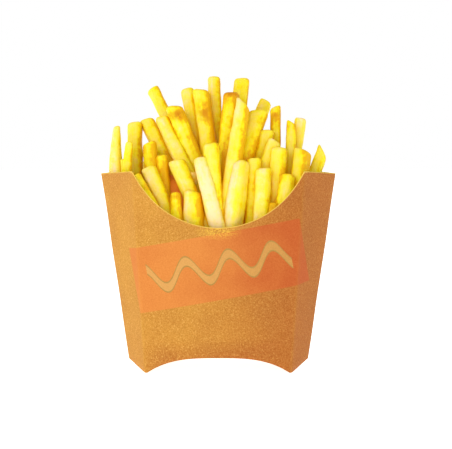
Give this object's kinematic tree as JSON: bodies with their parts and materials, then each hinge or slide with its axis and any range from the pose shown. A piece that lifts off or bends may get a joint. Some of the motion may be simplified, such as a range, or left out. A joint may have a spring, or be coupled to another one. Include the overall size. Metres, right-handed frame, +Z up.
{
  "type": "bucket of french fries",
  "caption": "Folded kraft board scoop heaped with golden french fries, with a scooped front edge and an arched bottom fold.",
  "frame": {"origin": "on the floor, under the middle of the scoop", "axes": "+X across the front to its right, -Y out of the scooped front, +Z up"},
  "size_m": [0.1174, 0.0535, 0.1459],
  "materials": {
    "kraft_board": "matte folded kraft board",
    "fried_potato": "soft satin, lightly oiled fried potato"
  },
  "bodies": {
    "root": {"carton": "kraft_board", "fries": "fried_potato"}
  },
  "joints": []
}
